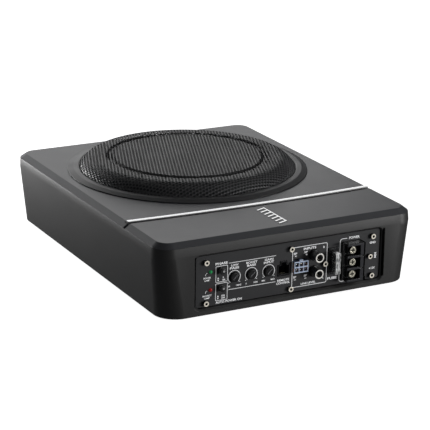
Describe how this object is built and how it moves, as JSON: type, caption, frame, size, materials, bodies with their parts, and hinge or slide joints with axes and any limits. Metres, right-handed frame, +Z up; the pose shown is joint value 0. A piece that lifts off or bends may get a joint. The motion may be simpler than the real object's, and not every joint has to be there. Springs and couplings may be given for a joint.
{
  "type": "powered car subwoofer",
  "caption": "Shallow under-seat powered subwoofer: rounded box, domed round grille over the woofer, bright trim strip across the cover, and an amplifier control panel in one end.",
  "frame": {"origin": "middle of the resting face, on the enclosure's long and cross centre lines", "axes": "+Z up, out of the grille; +X to the right seen from the amplifier panel; the panel faces -Y"},
  "size_m": [0.25, 0.3201, 0.0775],
  "materials": {
    "housing_casting": "fine satin black paint",
    "cover_satin": "satin charcoal",
    "bright_trim": "polished",
    "ring_black": "satin black",
    "mesh_black": "satin black powder coat",
    "gasket_rubber": "matt",
    "surround_rubber": "matt",
    "cone_paper": "matt, pressed pulp",
    "spider_cloth": "varnished cloth",
    "coil_copper": "enamelled copper",
    "basket_steel": "black stamped steel",
    "motor_steel": "zinc plated",
    "ferrite": "raw ferrite",
    "black_screws": "black oxide",
    "panel_black": "fine texture, white print",
    "plated_screws": "yellow zinc over black sockets",
    "green_lens": "tinted",
    "red_lens": "tinted",
    "control_black": "satin black",
    "socket_black": "gloss black",
    "contact_gold": "gold flash",
    "header_nylon": "milky nylon",
    "tinned_pins": "tin plated",
    "nickel_shell": "nickel plated",
    "fuse_clear": "clear moulded",
    "terminal_metal": "nickel plated brass",
    "clamp_black": "black nickel",
    "board_green": "solder mask",
    "steel_screws": "zinc plated",
    "spreader_aluminium": "extruded",
    "package_epoxy": "epoxy",
    "capacitor_sleeve": "shrink sleeve",
    "winding_copper": "enamelled wire",
    "transformer_tape": "polyester tape"
  },
  "bodies": {
    "enclosure": {"housing": "housing_casting", "top_cover": "cover_satin", "trim_strip": "bright_trim", "badge": "bright_trim", "grille_ring": "ring_black", "grille_mesh": "mesh_black", "cover_gasket": "gasket_rubber", "basket_gasket": "gasket_rubber", "surround": "surround_rubber", "spider": "spider_cloth", "basket": "basket_steel", "yoke": "motor_steel", "top_plate": "motor_steel", "magnet": "ferrite", "cover_screws": "black_screws", "basket_screws": "black_screws", "control_panel": "panel_black", "panel_screws": "plated_screws", "bracket_screw": "plated_screws", "power_lamp": "green_lens", "protect_lamp": "red_lens", "switch_cases": "control_black", "rotary_control_cases": "control_black", "remote_jack": "socket_black", "fuse_holder": "socket_black", "terminal_block": "socket_black", "line_input_base": "socket_black", "line_input_inserts": "socket_black", "remote_contacts": "contact_gold", "line_input_contacts": "contact_gold", "high_level_header": "header_nylon", "header_pins": "tinned_pins", "line_input_shells": "nickel_shell", "terminal_plates": "clamp_black", "control_board": "board_green", "amplifier_board": "board_green", "board_screws": "steel_screws", "transistor_clamp_bar": "steel_screws", "heat_spreader": "spreader_aluminium", "power_transistors": "package_epoxy", "reservoir_capacitors": "capacitor_sleeve", "toroid_choke": "winding_copper", "transformer": "transformer_tape"},
    "cone_assembly": {"cone": "cone_paper", "dust_cap": "cone_paper", "voice_coil": "coil_copper"},
    "phase_button": {"phase_button": "control_black"},
    "auto_on_button": {"auto_on_button": "control_black"},
    "low_pass_shaft": {"low_pass_shaft": "control_black"},
    "bass_shaft": {"bass_shaft": "control_black"},
    "gain_shaft": {"gain_shaft": "control_black"},
    "fuse": {"fuse_body": "fuse_clear", "fuse_element": "tinned_pins"},
    "clamp_1": {"clamp_1": "clamp_black"},
    "clamp_2": {"clamp_2": "clamp_black"},
    "clamp_3": {"clamp_3": "clamp_black"},
    "terminal_screw_1": {"terminal_screw_1": "terminal_metal"},
    "terminal_screw_2": {"terminal_screw_2": "terminal_metal"},
    "terminal_screw_3": {"terminal_screw_3": "terminal_metal"}
  },
  "joints": [
    {"name": "cone_travel", "type": "slide", "parent": "enclosure", "child": "cone_assembly", "axis": [0, 0, 1], "range_m": [-0.005, 0.005], "stiffness_N_per_m": 3000, "deforming": ["surround", "spider"]},
    {"name": "phase_press", "type": "slide", "parent": "enclosure", "child": "phase_button", "axis": [0, 1, 0], "range_m": [0, 0.002], "stiffness_N_per_m": 800},
    {"name": "auto_on_press", "type": "slide", "parent": "enclosure", "child": "auto_on_button", "axis": [0, 1, 0], "range_m": [0, 0.002], "stiffness_N_per_m": 800},
    {"name": "low_pass_turn", "type": "hinge", "parent": "enclosure", "child": "low_pass_shaft", "pos_m": [-0.0535, -0.1545, 0.0287], "axis": [0, 1, 0], "range_deg": [-185, 95]},
    {"name": "bass_turn", "type": "hinge", "parent": "enclosure", "child": "bass_shaft", "pos_m": [-0.0373, -0.1545, 0.0287], "axis": [0, 1, 0], "range_deg": [-185, 95]},
    {"name": "gain_turn", "type": "hinge", "parent": "enclosure", "child": "gain_shaft", "pos_m": [-0.0206, -0.1545, 0.0287], "axis": [0, 1, 0], "range_deg": [-185, 95]},
    {"name": "fuse_pull", "type": "slide", "parent": "enclosure", "child": "fuse", "axis": [0, -1, 0], "range_m": [0, 0.018]},
    {"name": "clamp_1_lift", "type": "slide", "parent": "enclosure", "child": "clamp_1", "axis": [0, -1, 0], "range_m": [0, 0.0014]},
    {"name": "terminal_screw_1_turn", "type": "hinge", "parent": "clamp_1", "child": "terminal_screw_1", "pos_m": [0.0578, -0.16, 0.0382], "axis": [0, 1, 0], "range_deg": [-720, 0]},
    {"name": "clamp_2_lift", "type": "slide", "parent": "enclosure", "child": "clamp_2", "axis": [0, -1, 0], "range_m": [0, 0.0014]},
    {"name": "terminal_screw_2_turn", "type": "hinge", "parent": "clamp_2", "child": "terminal_screw_2", "pos_m": [0.0578, -0.16, 0.0274], "axis": [0, 1, 0], "range_deg": [-720, 0]},
    {"name": "clamp_3_lift", "type": "slide", "parent": "enclosure", "child": "clamp_3", "axis": [0, -1, 0], "range_m": [0, 0.0014]},
    {"name": "terminal_screw_3_turn", "type": "hinge", "parent": "clamp_3", "child": "terminal_screw_3", "pos_m": [0.0578, -0.16, 0.0166], "axis": [0, 1, 0], "range_deg": [-720, 0]}
  ],
  "couplings": [
    {"joint": "terminal_screw_1_turn", "follows": "clamp_1_lift", "rad_per_m": -8976},
    {"joint": "terminal_screw_2_turn", "follows": "clamp_2_lift", "rad_per_m": -8976},
    {"joint": "terminal_screw_3_turn", "follows": "clamp_3_lift", "rad_per_m": -8976}
  ]
}
